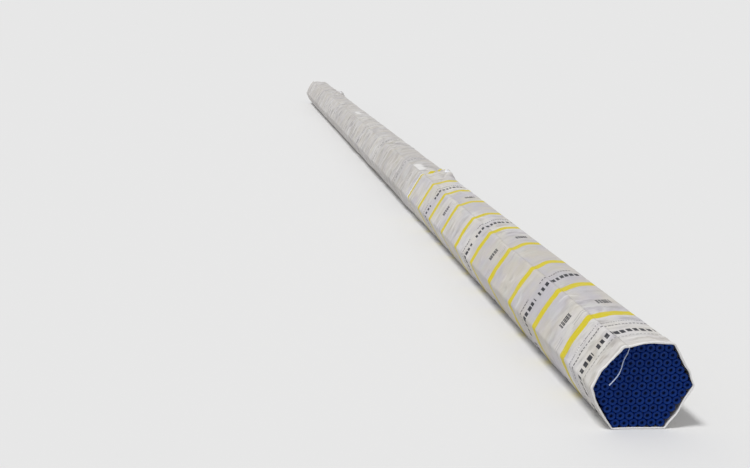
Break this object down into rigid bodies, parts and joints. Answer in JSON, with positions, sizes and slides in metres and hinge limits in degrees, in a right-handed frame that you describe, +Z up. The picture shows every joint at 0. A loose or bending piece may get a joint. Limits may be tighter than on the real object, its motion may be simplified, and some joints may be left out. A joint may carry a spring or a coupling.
{
  "type": "wrapped bundle of steel pipes",
  "caption": "Hexagonal bundle of steel pipes with plastic end caps, strapped and wrapped in striped woven cloth tied at its laps, lying on a flat side.",
  "frame": {"origin": "on the floor, under the middle of the bundle: the bottom centre of its box", "axes": "+Y along the pipes, away from the front end; +X across the bundle, from corner to corner; +Z up, square to the flat side that it lies on"},
  "size_m": [0.3036, 9.074, 0.2837],
  "materials": {
    "steel": "pickled stainless",
    "cap_plastic": "semi-gloss moulded polyethylene, royal blue",
    "strap": "embossed strap",
    "woven_wrap": "off-white woven polypropylene with yellow cross stripes",
    "tape": "white sewing tape"
  },
  "bodies": {
    "root": {"outer_pipes": "steel", "inner_pipes_core": "steel", "end_caps_row_01": "cap_plastic", "end_caps_row_02": "cap_plastic", "end_caps_row_03": "cap_plastic", "end_caps_row_04": "cap_plastic", "end_caps_row_05": "cap_plastic", "end_caps_row_06": "cap_plastic", "end_caps_row_07": "cap_plastic", "end_caps_row_08": "cap_plastic", "end_caps_row_09": "cap_plastic", "end_caps_row_10": "cap_plastic", "end_caps_row_11": "cap_plastic", "strap_1": "strap", "strap_2": "strap", "strap_3": "strap", "strap_4": "strap", "woven_wrap": "woven_wrap", "tie_1": "tape", "tie_2": "tape", "loose_tape": "tape"}
  },
  "joints": []
}
